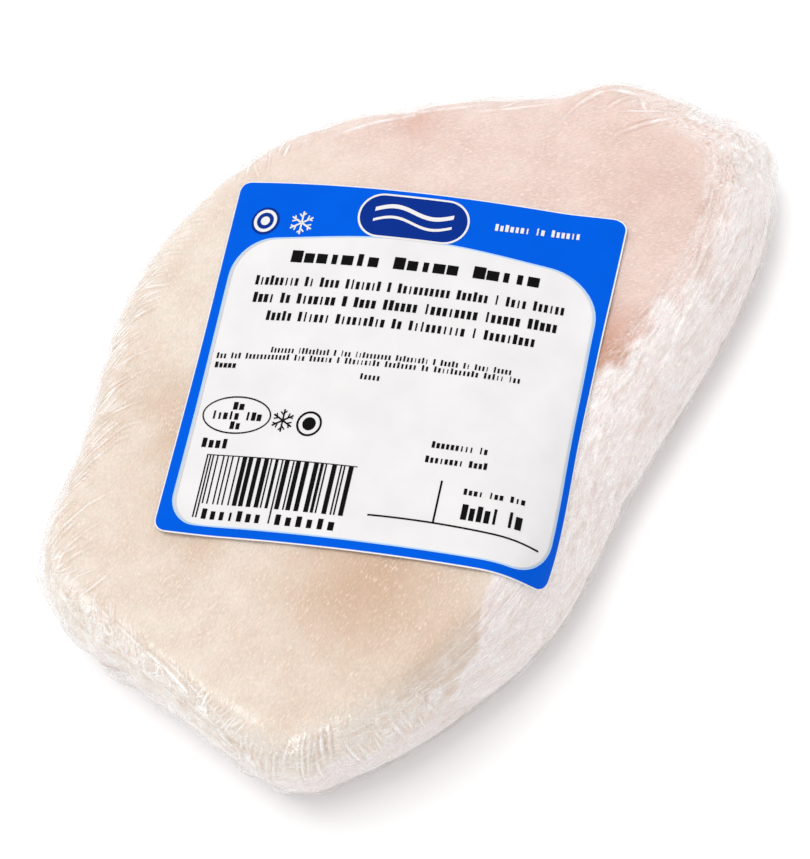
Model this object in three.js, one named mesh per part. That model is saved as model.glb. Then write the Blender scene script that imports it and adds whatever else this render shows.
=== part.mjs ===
// A frozen hake steak, one thick slab of fish wrapped tight in clear film, with one paper label
// stuck on its top face. Millimetres, +Z up. The origin is the middle of the rectangle that the
// slab covers, at the height of its flat underside. The slab's long way is X.

import * as THREE from 'three';

// ---------------------------------------------------------------- driving dimensions

// The slab's outline from above, anticlockwise from its right-hand end, with one point wherever
// it turns. x, y: the widest line round the slab. lean: how far in from that line the top face
// ends. round: the section of the shoulder between them, where 1.7 slants like a chamfer, 2 is a
// quarter of an ellipse and 2.4 is boxy. waist: the height of the widest line.
const OUTLINE = [
  { x: 67.0, y: -10.5, lean: 14, round: 2.0, waist: 8.5 },   // blunt right-hand end
  { x: 68.0, y: -21.0, lean: 15, round: 2.0, waist: 8 },     // its front corner
  { x: 55.0, y: -30.5, lean: 14, round: 1.9, waist: 7.5 },
  { x: 36.5, y: -36.5, lean: 14, round: 1.8, waist: 7.5 },
  { x: 9.5, y: -42.0, lean: 15, round: 1.7, waist: 7.5 },    // long front side, slanting
  { x: -16.0, y: -48.5, lean: 11, round: 1.9, waist: 7 },
  { x: -38.0, y: -46.0, lean: 7, round: 2.4, waist: 7 },
  { x: -54.0, y: -40.5, lean: 7, round: 2.3, waist: 7 },
  { x: -63.0, y: -33.5, lean: 8, round: 2.2, waist: 7 },     // front left corner
  { x: -66.5, y: -12.5, lean: 8, round: 2.1, waist: 6.5 },   // short left side
  { x: -69.0, y: 7.0, lean: 9, round: 2.1, waist: 7 },
  { x: -65.5, y: 20.5, lean: 9, round: 2.1, waist: 8 },      // back left corner
  { x: -47.0, y: 30.5, lean: 9, round: 2.1, waist: 9 },
  { x: -23.0, y: 45.0, lean: 9, round: 2.1, waist: 9 },
  { x: 0.5, y: 48.5, lean: 9, round: 2.1, waist: 9 },        // the far bulge
  { x: 21.0, y: 41.5, lean: 9, round: 2.1, waist: 9 },
  { x: 40.5, y: 25.5, lean: 9, round: 2.1, waist: 9 },       // long back side
  { x: 55.0, y: 10.0, lean: 9, round: 2.1, waist: 9 },
  { x: 62.5, y: 3.0, lean: 9, round: 2.0, waist: 9 },        // back corner of the end
];
const FOOT = { inset: 5, round: 2.3 };           // the flat underside, in from the widest line

// The top face: its height under the middle of the label, its slope there, its crown, a gentle
// arch across one direction that eases off beyond flat mm from the middle, and the swell of the
// thick right-hand end.
const TOP = { height: 26, slopeX: -0.02, slopeY: -0.004 };
const CROWN = { turn: -42, bend: 0.0073, flat: 30, ease: 0.3 };
const SWELL = { x: 62, y: -8, spread: 15, height: 4 };

// The label: a sheet laid on the top face, its middle and the turn of its width from +X.
const LABEL = { width: 64.5, height: 62, corner: 2, x: -4.4, y: -4.7, turn: -57.5 };
const LABEL_GAP = 0.32;                          // from the film to the sheet
const LABEL_THICK = 0.25;

// Gathers in the film: groups of pleats that run up the side. at, span: where, in degrees round
// the slab from +X. count: pleats in the group. depth: how far they stand out, mm.
const GATHERS = [
  { at: 208, span: 34, count: 6, depth: 0.45 },             // fan at the front left corner
  { at: 180, span: 40, count: 5, depth: 0.45 },             // folded film along the left side
  { at: 158, span: 26, count: 4, depth: 0.35 },             // back left corner
  { at: 64, span: 30, count: 4, depth: 0.4 },              // tuck by the label's corner
  { at: 8, span: 30, count: 4, depth: 0.4 },               // the right-hand end's back corner
  { at: 342, span: 26, count: 4, depth: 0.4 },             // and its front corner
];

// How fine the faceted surfaces are.
const AROUND = 150;                              // steps round the slab
const OUTLINE_SAMPLES = 1440;
const TOP_RINGS = 9;
const SHOULDER_RINGS = 11;
const FOOT_RINGS = 6;
const BASE_RINGS = 3;
const LABEL_STEPS = 24;
const DRAPE_STEP = 1;                            // the sheet is laid on in steps of this, mm

// ---------------------------------------------------------------- small helpers

const TURN = 2 * Math.PI;
const radians = (degrees) => THREE.MathUtils.degToRad(degrees);
const clamp = THREE.MathUtils.clamp;
const lerp = THREE.MathUtils.lerp;

// A quarter of a superellipse: phase 0 gives [1, 0], a quarter turn gives [0, 1].
function superellipse(phase, round) {
  return [Math.cos(phase) ** (2 / round), Math.sin(phase) ** (2 / round)];
}

// A closed mesh from rings of equal count, capped by a point at each end.
function closedFromRings(first, rings, last) {
  const positions = [];
  const indices = [];
  const count = rings[0].length;
  for (const ring of rings) {
    for (const point of ring) positions.push(point.x, point.y, point.z);
  }
  positions.push(first.x, first.y, first.z, last.x, last.y, last.z);
  const firstIndex = rings.length * count;
  for (let k = 0; k < count; k += 1) {
    const next = (k + 1) % count;
    const lastRing = (rings.length - 1) * count;
    indices.push(firstIndex, k, next);
    indices.push(firstIndex + 1, lastRing + next, lastRing + k);
    for (let ring = 0; ring + 1 < rings.length; ring += 1) {
      const here = ring * count;
      const below = here + count;
      indices.push(here + k, below + k, below + next);
      indices.push(here + k, below + next, here + next);
    }
  }
  const geometry = new THREE.BufferGeometry();
  geometry.setAttribute('position', new THREE.Float32BufferAttribute(positions, 3));
  geometry.setIndex(indices);
  geometry.computeVertexNormals();
  return geometry;
}

// ---------------------------------------------------------------- the slab's form

// A curve through the outline's points, centred, as a table over the angle round the slab.
function outlineTable() {
  const count = OUTLINE.length;
  const keys = ['x', 'y', 'lean', 'round', 'waist'];
  const samples = [];
  for (let n = 0; n < OUTLINE_SAMPLES; n += 1) {
    const along = (n / OUTLINE_SAMPLES) * count;
    const index = Math.floor(along);
    const part = along - index;
    const near = [-1, 0, 1, 2].map((step) => OUTLINE[(index + step + count) % count]);
    const sample = {};
    for (const key of keys) {
      const [p0, p1, p2, p3] = near.map((point) => point[key]);
      sample[key] = 0.5 * (2 * p1 + (p2 - p0) * part + (2 * p0 - 5 * p1 + 4 * p2 - p3) * part ** 2
        + (3 * p1 - p0 - 3 * p2 + p3) * part ** 3);
    }
    samples.push(sample);
  }
  for (const key of ['x', 'y']) {
    const values = samples.map((sample) => sample[key]);
    const middle = (Math.min(...values) + Math.max(...values)) / 2;
    for (const sample of samples) sample[key] -= middle;
  }
  for (const sample of samples) {
    sample.reach = Math.hypot(sample.x, sample.y);
    sample.angle = (Math.atan2(sample.y, sample.x) + TURN) % TURN;
  }
  return samples.sort((a, b) => a.angle - b.angle);
}

const TABLE = outlineTable();

// The outline's reach, lean, round and waist at an angle, in a straight line between samples.
function around(angle) {
  const wanted = ((angle % TURN) + TURN) % TURN;
  let low = -1;
  let high = TABLE.length;
  while (high - low > 1) {
    const middle = (low + high) >> 1;
    if (TABLE[middle].angle <= wanted) low = middle;
    else high = middle;
  }
  const before = TABLE[(low + TABLE.length) % TABLE.length];
  const after = TABLE[high % TABLE.length];
  const gap = (after.angle - before.angle + TURN) % TURN;
  const part = gap > 0 ? ((wanted - before.angle + TURN) % TURN) / gap : 0;
  const result = {};
  for (const key of ['reach', 'lean', 'round', 'waist']) {
    result[key] = lerp(before[key], after[key], part);
  }
  return result;
}

// The height of the top face, as if it ran on past the slab's edge.
function topFace(x, y) {
  const dx = x - LABEL.x;
  const dy = y - LABEL.y;
  const turn = radians(CROWN.turn);
  const across = Math.abs(dx * Math.cos(turn) + dy * Math.sin(turn));
  const near = Math.min(across, CROWN.flat);
  const far = across - near;
  const drop = CROWN.bend * (0.5 * near ** 2 + CROWN.ease * CROWN.flat * far);
  const fromSwell = Math.hypot(x - SWELL.x, y - SWELL.y) / SWELL.spread;
  const rise = SWELL.height * Math.exp(-0.5 * fromSwell ** 2);
  return TOP.height + TOP.slopeX * dx + TOP.slopeY * dy - drop + rise;
}

// The upper surface as a height over the plan: the top face and the shoulder round it.
function upperSurface(x, y) {
  const { reach, lean, round, waist } = around(Math.atan2(y, x));
  const outward = clamp(1 - (reach - Math.hypot(x, y)) / lean, 0, 1);
  const rise = (1 - outward ** round) ** (1 / round);
  return waist + (topFace(x, y) - waist) * rise;
}

// A point of the slab: level 0 is the middle of the top, 1 the top face's edge, 2 the widest
// line, 3 the edge of the underside and 4 its middle.
function slabPoint(angle, level) {
  const { reach, lean, round, waist } = around(angle);
  let radius;
  let z;
  if (level <= 2) {
    const phase = (2 - Math.max(level, 1)) * (Math.PI / 2);
    const [outward, rise] = superellipse(phase, round);
    radius = level < 1 ? (reach - lean) * level : reach - lean * (1 - outward);
    z = waist + (topFace(radius * Math.cos(angle), radius * Math.sin(angle)) - waist) * rise;
  } else {
    const phase = (Math.min(level, 3) - 2) * (Math.PI / 2);
    const [outward, fall] = superellipse(phase, FOOT.round);
    radius = reach - FOOT.inset * (1 - outward);
    if (level > 3) radius *= 4 - level;
    z = waist * (1 - fall);
  }
  return new THREE.Vector3(radius * Math.cos(angle), radius * Math.sin(angle), z);
}

// How far the film's pleats stand out: a row of cosines in each group, fading at its two ends,
// and fading up the side to nothing at the top face's edge and at the underside.
function pleats(angle, level) {
  const side = clamp(level - 1, 0, 2) / 2;
  const upTheSide = Math.sin(Math.PI * side) ** 2;
  let total = 0;
  for (const { at, span, count, depth } of GATHERS) {
    const away = ((angle - radians(at) + 1.5 * TURN) % TURN) - TURN / 2;
    const place = away / radians(span);
    if (Math.abs(place) < 0.5) {
      const fade = Math.cos(Math.PI * place) ** 2;
      total += depth * fade * Math.cos(TURN * count * place);
    }
  }
  return total * upTheSide;
}

function slabLevels() {
  const levels = [];
  for (let k = 1; k < TOP_RINGS; k += 1) levels.push(k / TOP_RINGS);
  for (let k = 0; k < SHOULDER_RINGS; k += 1) levels.push(1 + k / SHOULDER_RINGS);
  for (let k = 0; k <= FOOT_RINGS; k += 1) levels.push(2 + k / FOOT_RINGS);
  for (let k = 1; k < BASE_RINGS; k += 1) levels.push(3 + k / BASE_RINGS);
  return levels;
}

function wrappedSteak() {
  const rings = slabLevels().map((level) => {
    const ring = [];
    for (let k = 0; k < AROUND; k += 1) {
      const angle = (k / AROUND) * TURN;
      const point = slabPoint(angle, level);
      const outward = new THREE.Vector3(Math.cos(angle), Math.sin(angle), 0);
      ring.push(point.addScaledVector(outward, pleats(angle, level)));
    }
    return ring;
  });
  const geometry = closedFromRings(slabPoint(0, 0), rings, slabPoint(0, 4));
  const material = new THREE.MeshStandardMaterial({ color: 0xead5c6, roughness: 0.35, metalness: 0 });
  const mesh = new THREE.Mesh(geometry, material);
  mesh.name = 'wrapped_steak';
  return mesh;
}

// ---------------------------------------------------------------- the label

const SLOPE_STEP = 0.2;                          // for the upper surface's slope, mm

function upperNormal(x, y) {
  const h = SLOPE_STEP;
  const slopeX = (upperSurface(x + h, y) - upperSurface(x - h, y)) / (2 * h);
  const slopeY = (upperSurface(x, y + h) - upperSurface(x, y - h)) / (2 * h);
  return new THREE.Vector3(-slopeX, -slopeY, 1).normalize();
}

const intoSurface = (direction, normal) => direction.clone().projectOnPlane(normal).normalize();

// Walks straight ahead over the upper surface, as a taut sheet lies: each step keeps its length,
// and the heading is only tipped to follow the surface.
function walk(start, heading, step, count) {
  const points = [start];
  const headings = [heading];
  for (let k = 0; k < count; k += 1) {
    const from = points[k];
    const next = from.clone().addScaledVector(headings[k], step);
    for (let pass = 0; pass < 3; pass += 1) {
      next.z = upperSurface(next.x, next.y);
      const scale = Math.abs(step) / next.distanceTo(from);
      next.x = lerp(from.x, next.x, scale);
      next.y = lerp(from.y, next.y, scale);
    }
    next.z = upperSurface(next.x, next.y);
    points.push(next);
    headings.push(intoSurface(headings[k], upperNormal(next.x, next.y)));
  }
  return { points, headings };
}

// The sheet as a table of points a step apart: one walk each way along its width through its
// middle, and from each point of that row one walk up and one down.
function drape() {
  const acrossCount = Math.ceil(LABEL.width / 2 / DRAPE_STEP);
  const upCount = Math.ceil(LABEL.height / 2 / DRAPE_STEP);
  const middle = new THREE.Vector3(LABEL.x, LABEL.y, upperSurface(LABEL.x, LABEL.y));
  const turn = radians(LABEL.turn);
  const heading = intoSurface(
    new THREE.Vector3(Math.cos(turn), Math.sin(turn), 0), upperNormal(LABEL.x, LABEL.y));
  const columns = [];
  for (const side of [-1, 1]) {
    const row = walk(middle, heading, side * DRAPE_STEP, acrossCount);
    row.points.forEach((point, k) => {
      const up = upperNormal(point.x, point.y).cross(row.headings[k]);
      const above = walk(point, up, DRAPE_STEP, upCount).points;
      const below = walk(point, up, -DRAPE_STEP, upCount).points;
      columns[acrossCount + side * k] = [...below.slice(1).reverse(), ...above];
    });
  }
  return { columns, acrossCount, upCount };
}

// The surface point under a place on the sheet, given from the sheet's middle.
function underSheet({ columns, acrossCount, upCount }, across, up) {
  const i = clamp(across / DRAPE_STEP + acrossCount, 0, 2 * acrossCount - 1e-6);
  const j = clamp(up / DRAPE_STEP + upCount, 0, 2 * upCount - 1e-6);
  const [column, row] = [Math.floor(i), Math.floor(j)];
  const low = columns[column][row].clone().lerp(columns[column + 1][row], i - column);
  const high = columns[column][row + 1].clone().lerp(columns[column + 1][row + 1], i - column);
  return low.lerp(high, j - row);
}

// Steps along one side of the sheet: a short one at each rounded corner and equal ones between.
function sheetSteps(length) {
  const half = length / 2;
  const steps = [-half, -half + 0.5 * LABEL.corner];
  for (let k = 0; k <= LABEL_STEPS; k += 1) {
    steps.push(lerp(-half + LABEL.corner, half - LABEL.corner, k / LABEL_STEPS));
  }
  steps.push(half - 0.5 * LABEL.corner, half);
  return steps;
}

// Draws the four corner squares of the sheet into quarter discs.
function roundCorner(across, up) {
  const flatX = LABEL.width / 2 - LABEL.corner;
  const flatY = LABEL.height / 2 - LABEL.corner;
  const dx = Math.max(Math.abs(across) - flatX, 0) / LABEL.corner;
  const dy = Math.max(Math.abs(up) - flatY, 0) / LABEL.corner;
  if (dx === 0 || dy === 0) return [across, up];
  return [
    Math.sign(across) * (flatX + LABEL.corner * dx * Math.sqrt(1 - dy ** 2 / 2)),
    Math.sign(up) * (flatY + LABEL.corner * dy * Math.sqrt(1 - dx ** 2 / 2)),
  ];
}

// The sheet as two skins, one at each end of its thickness, joined round the edge.
function label() {
  const sheet = drape();
  const acrossSteps = sheetSteps(LABEL.width);
  const upSteps = sheetSteps(LABEL.height);
  const wide = acrossSteps.length;
  const tall = upSteps.length;
  const positions = [];
  for (const lift of [LABEL_GAP + LABEL_THICK, LABEL_GAP]) {
    for (const up of upSteps) {
      for (const across of acrossSteps) {
        const point = underSheet(sheet, ...roundCorner(across, up));
        point.addScaledVector(upperNormal(point.x, point.y), lift);
        positions.push(point.x, point.y, point.z);
      }
    }
  }
  const indices = [];
  const under = wide * tall;
  for (let j = 0; j + 1 < tall; j += 1) {
    for (let i = 0; i + 1 < wide; i += 1) {
      const a = j * wide + i;
      const [b, c, d] = [a + 1, a + wide + 1, a + wide];
      indices.push(a, b, c, a, c, d);
      indices.push(under + a, under + c, under + b, under + a, under + d, under + c);
    }
  }
  const border = [];
  for (let i = 0; i + 1 < wide; i += 1) border.push(i);
  for (let j = 0; j + 1 < tall; j += 1) border.push(j * wide + wide - 1);
  for (let i = wide - 1; i > 0; i -= 1) border.push((tall - 1) * wide + i);
  for (let j = tall - 1; j > 0; j -= 1) border.push(j * wide);
  border.forEach((a, k) => {
    const b = border[(k + 1) % border.length];
    indices.push(a, under + a, under + b, a, under + b, b);
  });
  const geometry = new THREE.BufferGeometry();
  geometry.setAttribute('position', new THREE.Float32BufferAttribute(positions, 3));
  geometry.setIndex(indices);
  geometry.computeVertexNormals();
  const material = new THREE.MeshStandardMaterial({ color: 0xf4f5f7, roughness: 0.45, metalness: 0 });
  const mesh = new THREE.Mesh(geometry, material);
  mesh.name = 'label';
  return mesh;
}

// ---------------------------------------------------------------- the whole

const hakeSteak = new THREE.Group();
hakeSteak.add(wrappedSteak(), label());

export default hakeSteak;
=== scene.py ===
"""A frozen hake steak wrapped tight in clear film, with a paper label on its top face.

The slab of fish, the film round it and the printed label are surfaces worked out with numpy, in
millimetres in the part's own frame, and turned to metres when their meshes are made.
"""

import bpy
import numpy as np
from mathutils import Matrix, Vector


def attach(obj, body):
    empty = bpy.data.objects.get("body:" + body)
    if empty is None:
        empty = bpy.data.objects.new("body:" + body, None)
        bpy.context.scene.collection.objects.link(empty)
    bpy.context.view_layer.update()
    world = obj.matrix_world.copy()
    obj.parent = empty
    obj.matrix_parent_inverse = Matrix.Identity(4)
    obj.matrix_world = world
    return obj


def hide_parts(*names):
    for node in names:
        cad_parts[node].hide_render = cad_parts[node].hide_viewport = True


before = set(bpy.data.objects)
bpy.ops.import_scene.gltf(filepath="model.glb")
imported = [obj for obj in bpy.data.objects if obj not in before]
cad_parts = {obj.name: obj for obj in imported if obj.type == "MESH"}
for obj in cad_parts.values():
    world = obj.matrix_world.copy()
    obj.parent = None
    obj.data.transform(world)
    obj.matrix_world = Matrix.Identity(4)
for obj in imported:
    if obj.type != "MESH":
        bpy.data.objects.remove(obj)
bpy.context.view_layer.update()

MM = 0.001
TURN = 2 * np.pi

# ------------------------------------------------------------------------------ the camera

CAMERA = {
    "at": (-0.0557, -0.1328, 0.2903),
    "looks_at": (-0.0058, -0.0031, 0.0),
    "roll": -26.86,              # degrees, anticlockwise
    "lens": 80,                  # mm, on a sensor 36 mm high
}


def make_camera():
    """A camera at one place that looks at another, then rolled about its own axis."""
    data = bpy.data.cameras.new("camera")
    data.lens = CAMERA["lens"]
    data.sensor_width = 36
    data.clip_start = 0.01
    camera = bpy.data.objects.new("camera", data)
    bpy.context.scene.collection.objects.link(camera)
    place = Vector(CAMERA["at"])
    turn = (Vector(CAMERA["looks_at"]) - place).to_track_quat("-Z", "Y").to_matrix().to_4x4()
    roll = Matrix.Rotation(np.radians(CAMERA["roll"]), 4, "Z")
    camera.matrix_world = Matrix.Translation(place) @ turn @ roll
    bpy.context.scene.camera = camera


# ------------------------------------------------------------------------------ the slab's form

# The outline from above, anticlockwise from its right-hand end. Columns: x, y of the widest
# line, how far in from it the top face ends, the section of the shoulder between them (2 is a
# quarter of an ellipse, less is a chamfer and more is boxy), and the height of the widest line.
# The x and y aren't worked out from driving sizes: another program fitted them to the object's
# outline in a photograph, and they were rounded to half a millimetre.
OUTLINE = np.array([
    (67.0, -10.5, 14, 2.0, 8.5),
    (68.0, -21.0, 15, 2.0, 8),
    (55.0, -30.5, 14, 1.9, 7.5),
    (36.5, -36.5, 14, 1.8, 7.5),
    (9.5, -42.0, 15, 1.7, 7.5),
    (-16.0, -48.5, 11, 1.9, 7),
    (-38.0, -46.0, 7, 2.4, 7),
    (-54.0, -40.5, 7, 2.3, 7),
    (-63.0, -33.5, 8, 2.2, 7),
    (-66.5, -12.5, 8, 2.1, 6.5),
    (-69.0, 7.0, 9, 2.1, 7),
    (-65.5, 20.5, 9, 2.1, 8),
    (-47.0, 30.5, 9, 2.1, 9),
    (-23.0, 45.0, 9, 2.1, 9),
    (0.5, 48.5, 9, 2.1, 9),
    (21.0, 41.5, 9, 2.1, 9),
    (40.5, 25.5, 9, 2.1, 9),
    (55.0, 10.0, 9, 2.1, 9),
    (62.5, 3.0, 9, 2.0, 9),
])
FOOT = {"inset": 5, "round": 2.3}
TOP = {"height": 26, "slope_x": -0.02, "slope_y": -0.004}
CROWN = {"turn": -42, "bend": 0.0073, "flat": 30, "ease": 0.3}
SWELL = {"x": 62, "y": -8, "spread": 15, "height": 4}
LABEL = {"width": 64.5, "height": 62, "corner": 2, "x": -4.4, "y": -4.7, "turn": -57.5}

# Groups of pleats that run up the side: degrees round the slab, span, count, depth in mm.
GATHERS = [
    (208, 34, 6, 0.45),
    (180, 40, 5, 0.45),
    (158, 26, 4, 0.35),
    (64, 30, 4, 0.4),
    (8, 30, 4, 0.4),
    (342, 26, 4, 0.4),
]


def closed_curve(points, count):
    """A Catmull-Rom curve through every row of points and back to the first."""
    along = np.arange(count) / count * len(points)
    index = along.astype(int)
    part = (along - index)[:, None]
    p0, p1, p2, p3 = (points[(index + step) % len(points)] for step in (-1, 0, 1, 2))
    return 0.5 * (2 * p1 + (p2 - p0) * part + (2 * p0 - 5 * p1 + 4 * p2 - p3) * part**2
                  + (3 * p1 - p0 - 3 * p2 + p3) * part**3)


def outline_table():
    """The outline as angle, reach, lean, round and waist, sorted by angle."""
    curve = closed_curve(OUTLINE, 1440)
    curve[:, :2] -= (curve[:, :2].max(axis=0) + curve[:, :2].min(axis=0)) / 2
    angle = np.arctan2(curve[:, 1], curve[:, 0]) % TURN
    order = np.argsort(angle)
    reach = np.hypot(curve[:, 0], curve[:, 1])
    return np.column_stack([angle, reach, curve[:, 2:]])[order]


TABLE = outline_table()


def around(angle):
    """Reach, lean, round and waist at each angle."""
    wanted = np.asarray(angle) % TURN
    return [np.interp(wanted, TABLE[:, 0], TABLE[:, k], period=TURN) for k in range(1, 5)]


def top_face(x, y):
    """Height of the top face: a tilted plane, less an arch, plus the swell of the thick end."""
    dx = x - LABEL["x"]
    dy = y - LABEL["y"]
    turn = np.radians(CROWN["turn"])
    across = np.abs(dx * np.cos(turn) + dy * np.sin(turn))
    near = np.minimum(across, CROWN["flat"])
    drop = CROWN["bend"] * (0.5 * near**2 + CROWN["ease"] * CROWN["flat"] * (across - near))
    from_swell = np.hypot(x - SWELL["x"], y - SWELL["y"]) / SWELL["spread"]
    rise = SWELL["height"] * np.exp(-0.5 * from_swell**2)
    return TOP["height"] + TOP["slope_x"] * dx + TOP["slope_y"] * dy - drop + rise


def upper_surface(x, y):
    """The upper surface as a height over the plan: the top face and the shoulder round it."""
    reach, lean, section, waist = around(np.arctan2(y, x))
    outward = np.clip(1 - (reach - np.hypot(x, y)) / lean, 0, 1)
    return waist + (top_face(x, y) - waist) * (1 - outward**section) ** (1 / section)


def slab_point(angle, level):
    """A point of the slab. Level 0 is the middle of the top, 1 the top face's edge, 2 the widest
    line, 3 the edge of the underside and 4 its middle. Shoulder and foot are superellipses."""
    reach, lean, section, waist = around(angle)
    above = (2 - np.clip(level, 1, 2)) * np.pi / 2
    outward = np.cos(above) ** (2 / section)
    rise = np.sin(above) ** (2 / section)
    below = (np.clip(level, 2, 3) - 2) * np.pi / 2
    foot = np.cos(below) ** (2 / FOOT["round"])
    fall = np.sin(below) ** (2 / FOOT["round"])
    radius = np.where(level < 1, (reach - lean) * level, reach - lean * (1 - outward))
    radius = np.where(level > 2, reach - FOOT["inset"] * (1 - foot), radius)
    radius = np.where(level > 3, (reach - FOOT["inset"]) * (4 - level), radius)
    x = radius * np.cos(angle)
    y = radius * np.sin(angle)
    z = np.where(level <= 2, waist + (top_face(x, y) - waist) * rise, waist * (1 - fall))
    return np.stack([x, y, z], axis=-1)


def wrapped(angle):
    """An angle brought between minus and plus half a turn."""
    return (angle + TURN / 2) % TURN - TURN / 2


def pleats(angle, level):
    """How far the gathers stand out: rows of cosines that fade at both ends and up the side."""
    side = np.clip(level - 1, 0, 2) / 2
    total = np.zeros(np.broadcast(angle, level).shape)
    for at, span, count, depth in GATHERS:
        place = wrapped(angle - np.radians(at)) / np.radians(span)
        fade = np.where(np.abs(place) < 0.5, np.cos(np.pi * place) ** 2, 0)
        total += depth * fade * np.cos(TURN * count * place)
    return total * np.sin(np.pi * side) ** 2


# ------------------------------------------------------------------------------ patterns

def bell(distance, width):
    """1 at no distance, falling off as a Gaussian."""
    return np.exp(-(distance / width) ** 2)


def step_up(value, low, high):
    """0 below low, 1 above high, and a smooth step between."""
    part = np.clip((value - low) / (high - low), 0, 1)
    return part * part * (3 - 2 * part)


def waves(points, size, seed, count=24):
    """Smooth noise of spread about 1: a sum of plane waves of random heading, size mm long."""
    draw = np.random.default_rng(seed)
    heading = draw.normal(size=(count, 3))
    heading /= np.linalg.norm(heading, axis=1, keepdims=True)
    number = TURN / (size * draw.uniform(0.7, 1.5, count))
    phase = draw.uniform(0, TURN, count)
    total = np.zeros(points.shape[:-1])
    for k in range(count):
        total += np.cos(number[k] * (points @ heading[k]) + phase[k])
    return total * np.sqrt(2 / count)


# ------------------------------------------------------------------------------ meshes

def grid_faces(rows, columns, closed=False):
    """The quads of a grid of points stored row by row, joined round its rows if closed."""
    row, column = np.meshgrid(np.arange(rows - 1), np.arange(columns - 1 + closed), indexing="ij")
    here = row * columns + column
    beside = row * columns + (column + 1) % columns
    return np.stack([here, beside, beside + columns, here + columns], axis=-1).reshape(-1, 4)


def new_piece(name, points, faces, material, values=None, vectors=None):
    """Links a mesh made from points in mm, with named values and vectors at its points."""
    mesh = bpy.data.meshes.new(name)
    mesh.from_pydata((np.asarray(points).reshape(-1, 3) * MM).tolist(), [], faces)
    mesh.polygons.foreach_set("use_smooth", np.full(len(mesh.polygons), True))
    for key, value in (values or {}).items():
        mesh.attributes.new(key, "FLOAT", "POINT").data.foreach_set("value", np.ravel(value))
    for key, value in (vectors or {}).items():
        mesh.attributes.new(key, "FLOAT_VECTOR", "POINT").data.foreach_set("vector", np.ravel(value))
    mesh.materials.append(material)
    mesh.update()
    piece = bpy.data.objects.new(name, mesh)
    bpy.context.scene.collection.objects.link(piece)
    return piece


def closed_skin(rings, first, last):
    """Rings of points closed by a point at each end, as points and faces that point outwards."""
    count, columns = rings.shape[:2]
    quads = grid_faces(count, columns, closed=True)[:, ::-1]
    points = np.concatenate([rings.reshape(-1, 3), [first, last]])
    here = np.arange(columns)
    beside = (here + 1) % columns
    lowest = (count - 1) * columns
    top = np.column_stack([here, beside, np.full(columns, count * columns)])
    bottom = np.column_stack([beside, here, np.full(columns, count * columns + 1)])
    bottom[:, :2] += lowest
    return points, quads.tolist() + top.tolist() + bottom.tolist()


def outward_normals(rings):
    """The unit normal at every point of rings that run from the top middle down and under."""
    round_it = np.roll(rings, -1, axis=1) - np.roll(rings, 1, axis=1)
    down_it = np.gradient(rings, axis=0)
    normal = np.cross(down_it, round_it)
    return normal / np.linalg.norm(normal, axis=-1, keepdims=True)


# ------------------------------------------------------------------------------ materials

def linear(hex_colour):
    """An sRGB hex colour as linear RGBA."""
    value = np.array([int(hex_colour[k:k + 2], 16) for k in (1, 3, 5)]) / 255
    value = np.where(value <= 0.04045, value / 12.92, ((value + 0.055) / 1.055) ** 2.4)
    return (*value.tolist(), 1.0)


def add(tree, kind, settings=None, inputs=None):
    """Adds a node with its settings, and sets or links its inputs, named or counted."""
    node = tree.nodes.new(kind)
    for key, value in (settings or {}).items():
        setattr(node, key, value)
    for key, value in (inputs or {}).items():
        if isinstance(value, bpy.types.NodeSocket):
            tree.links.new(value, node.inputs[key])
        else:
            node.inputs[key].default_value = value
    return node


def new_material(name):
    """An empty node material and its output node."""
    material = bpy.data.materials.new(name)
    material.use_nodes = True
    material.node_tree.nodes.clear()
    return material, material.node_tree, add(material.node_tree, "ShaderNodeOutputMaterial")


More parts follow.
